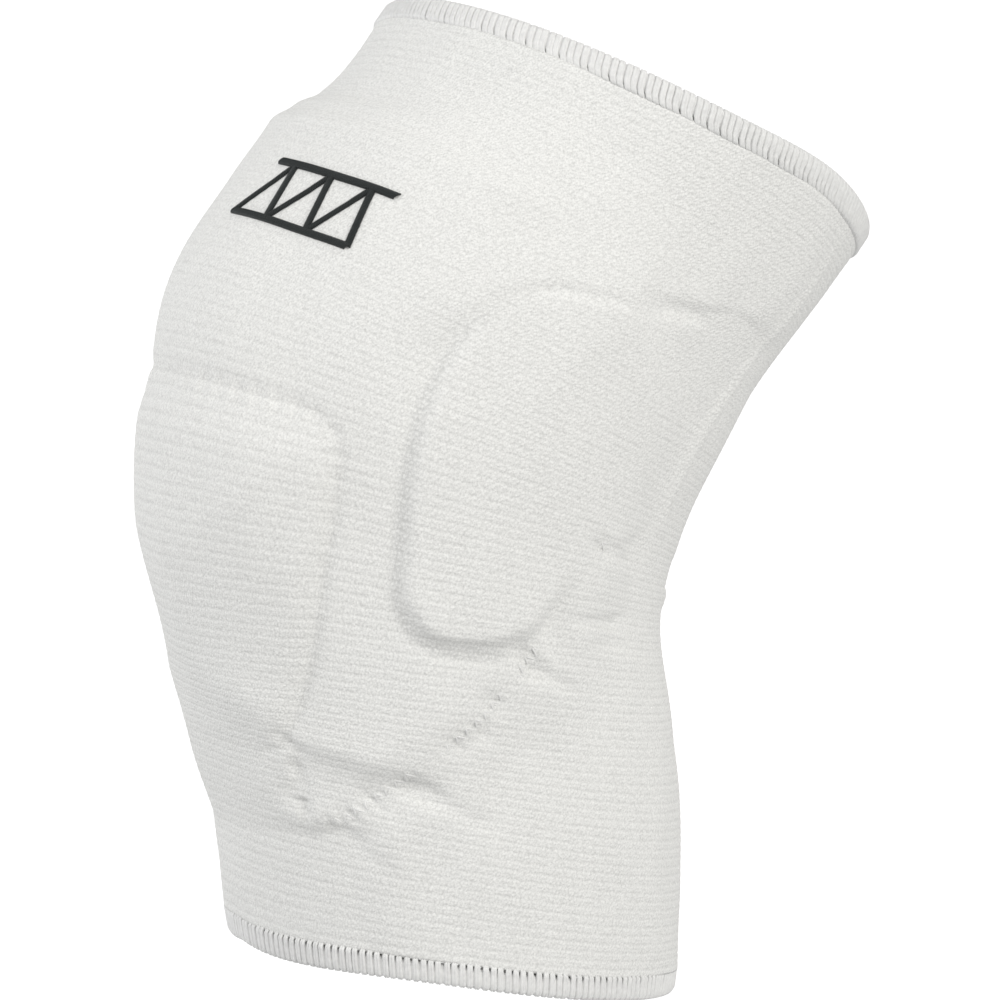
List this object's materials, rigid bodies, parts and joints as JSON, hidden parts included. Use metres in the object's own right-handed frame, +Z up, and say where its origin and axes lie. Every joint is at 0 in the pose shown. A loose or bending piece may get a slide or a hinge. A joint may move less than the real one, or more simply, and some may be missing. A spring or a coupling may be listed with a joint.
{
  "type": "volleyball knee pad",
  "caption": "White knitted tube shaped for a bent knee, with foam pads over the kneecap, above it and on both sides, held by an inner cloth panel.",
  "frame": {"origin": "centre of the hollow at the bend of the knee", "axes": "+Z up the leg towards the thigh, -Y towards the front of the knee, +X towards the outer side of the leg"},
  "size_m": [0.1302, 0.1914, 0.2536],
  "materials": {
    "white_knit": "ribbed elastic knit, matt",
    "white_thread": "overlock thread with a slight sheen",
    "lining_knit": "fine smooth knit, matt",
    "pad_foam": "soft closed-cell foam, matt",
    "dark_thread": "satin-stitched thread with a soft sheen"
  },
  "bodies": {
    "root": {"sleeve": "white_knit", "shin_hem": "white_thread", "thigh_hem": "white_thread", "pad_panel": "lining_knit", "knee_pad": "pad_foam", "thigh_pad": "pad_foam", "side_pad_outer": "pad_foam", "side_pad_inner": "pad_foam", "front_motif": "dark_thread"}
  },
  "joints": []
}
